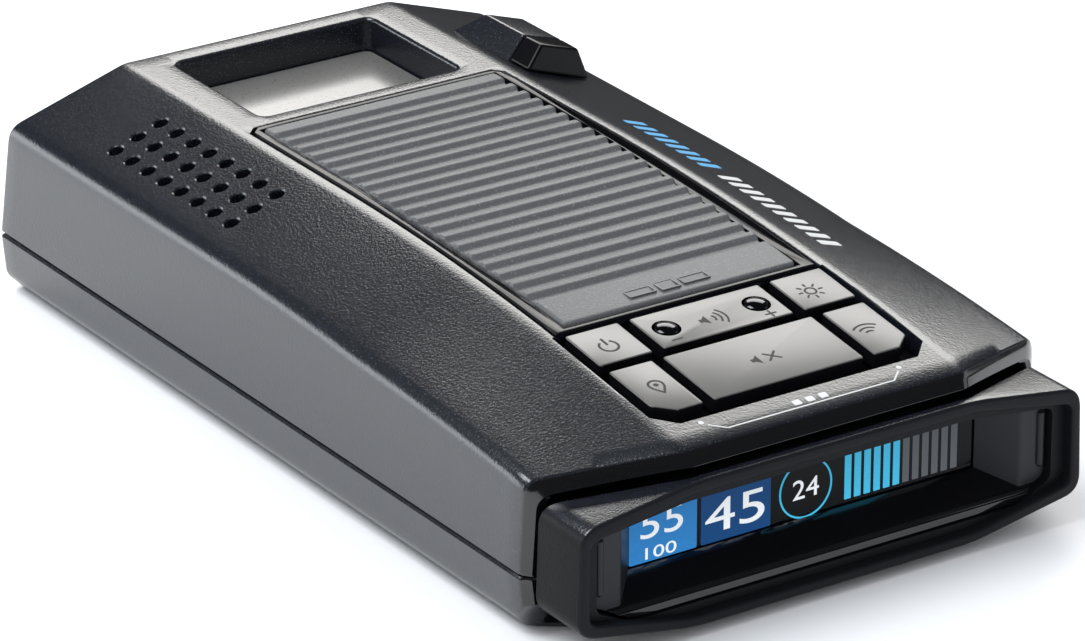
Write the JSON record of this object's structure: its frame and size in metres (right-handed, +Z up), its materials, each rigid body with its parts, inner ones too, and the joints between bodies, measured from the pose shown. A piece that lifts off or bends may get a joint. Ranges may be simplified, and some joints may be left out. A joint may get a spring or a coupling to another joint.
{
  "type": "radar detector",
  "caption": "Windscreen radar detector with a hooded display at the rear, a tilted key panel, a ribbed antenna cover, a speaker grille and a rear laser port.",
  "frame": {"origin": "middle of the flat underside, at the centre of the overall outline", "axes": "+Z up, out of the key face; +Y to the front, which looks out through the windscreen; the display faces -Y; +X to the side with the jacks, on the right of someone who reads the display"},
  "size_m": [0.075, 0.134, 0.0316],
  "materials": {
    "shell": "graphite, satin, with a fine moulded grain",
    "bezel": "dark graphite, satin, fine grain",
    "liner": "glossy black",
    "trim_gloss": "polished black",
    "window_tint": "polished, almost black, infrared clear",
    "display_glass": "polished dark display window",
    "pad_plastic": "matte mid grey, fine grain",
    "key_plastic": "satin warm grey",
    "dome_chrome": "polished",
    "plate_gloss": "smooth satin paint",
    "jack_plastic": "satin black",
    "lens_plastic": "polished dark red",
    "sensor_plastic": "black, moulded",
    "circuit_board": "green solder mask",
    "flex_film": "amber polyimide film",
    "lead_jacket": "black insulation",
    "silicone": "soft matte grey",
    "foam": "black closed foam",
    "mesh_fabric": "black woven cloth",
    "ceramic": "matte ceramic with a metallised face",
    "cast_metal": "die cast, blasted",
    "plated_steel": "tin plated",
    "speaker_steel": "zinc plated",
    "capacitor_can": "sleeved can",
    "magnet_plating": "nickel plated",
    "screw_steel": "black zinc"
  },
  "bodies": {
    "root": {"backup_capacitor": "capacitor_can", "bezel_screw_left": "screw_steel", "bezel_screw_right": "screw_steel", "board_screw_left": "screw_steel", "board_screw_right": "screw_steel", "bottom_shell": "shell", "case_screw_front_left": "screw_steel", "case_screw_front_right": "screw_steel", "case_screw_rear_left": "screw_steel", "case_screw_rear_right": "screw_steel", "display_bezel": "bezel", "display_board": "circuit_board", "display_module": "plated_steel", "display_ribbon": "flex_film", "display_window": "display_glass", "earphone_jack": "jack_plastic", "front_laser_lens_left": "lens_plastic", "front_laser_lens_right": "lens_plastic", "front_laser_sensor_left": "sensor_plastic", "front_laser_sensor_right": "sensor_plastic", "front_window": "window_tint", "gps_board": "circuit_board", "gps_cover": "pad_plastic", "gps_lead": "lead_jacket", "gps_patch": "ceramic", "gps_trim": "trim_gloss", "hood_liner": "liner", "horn_antenna": "cast_metal", "key_board": "circuit_board", "key_frame": "trim_gloss", "key_mat": "silicone", "key_ribbon": "flex_film", "main_board": "circuit_board", "mount_magnet_left": "magnet_plating", "mount_magnet_right": "magnet_plating", "mount_plate": "plate_gloss", "power_jack": "jack_plastic", "processor_shield": "plated_steel", "rear_laser_cap": "trim_gloss", "rear_laser_sensor": "sensor_plastic", "rf_board": "circuit_board", "rf_shield": "plated_steel", "speaker": "speaker_steel", "speaker_gasket": "foam", "speaker_lead": "lead_jacket", "speaker_mesh": "mesh_fabric", "top_shell": "shell", "usb_jack": "plated_steel", "wireless_module": "plated_steel"},
    "power_key": {"power_key": "key_plastic"},
    "brightness_key": {"brightness_key": "key_plastic"},
    "mark_key": {"mark_key": "key_plastic"},
    "sensitivity_key": {"sensitivity_key": "key_plastic"},
    "mute_key": {"mute_key": "key_plastic"},
    "volume_rocker": {"volume_rocker": "key_plastic", "volume_dome_left": "dome_chrome", "volume_dome_right": "dome_chrome"}
  },
  "joints": [
    {"name": "power_key_press", "type": "slide", "parent": "root", "child": "power_key", "axis": [0, 0.1284, -0.9917], "range_m": [0, 0.0004], "stiffness_N_per_m": 400},
    {"name": "brightness_key_press", "type": "slide", "parent": "root", "child": "brightness_key", "axis": [0, 0.1284, -0.9917], "range_m": [0, 0.0004], "stiffness_N_per_m": 400},
    {"name": "mark_key_press", "type": "slide", "parent": "root", "child": "mark_key", "axis": [0, 0.1284, -0.9917], "range_m": [0, 0.0004], "stiffness_N_per_m": 400},
    {"name": "sensitivity_key_press", "type": "slide", "parent": "root", "child": "sensitivity_key", "axis": [0, 0.1284, -0.9917], "range_m": [0, 0.0004], "stiffness_N_per_m": 400},
    {"name": "mute_key_press", "type": "slide", "parent": "root", "child": "mute_key", "axis": [0, 0.1284, -0.9917], "range_m": [0, 0.0004], "stiffness_N_per_m": 400},
    {"name": "volume_rock", "type": "hinge", "parent": "root", "child": "volume_rocker", "pos_m": [0, -0.04086, 0.02483], "axis": [0, 0.9917, 0.1284], "range_deg": [-2.5, 2.5], "stiffness_Nm_per_rad": 0.05}
  ]
}
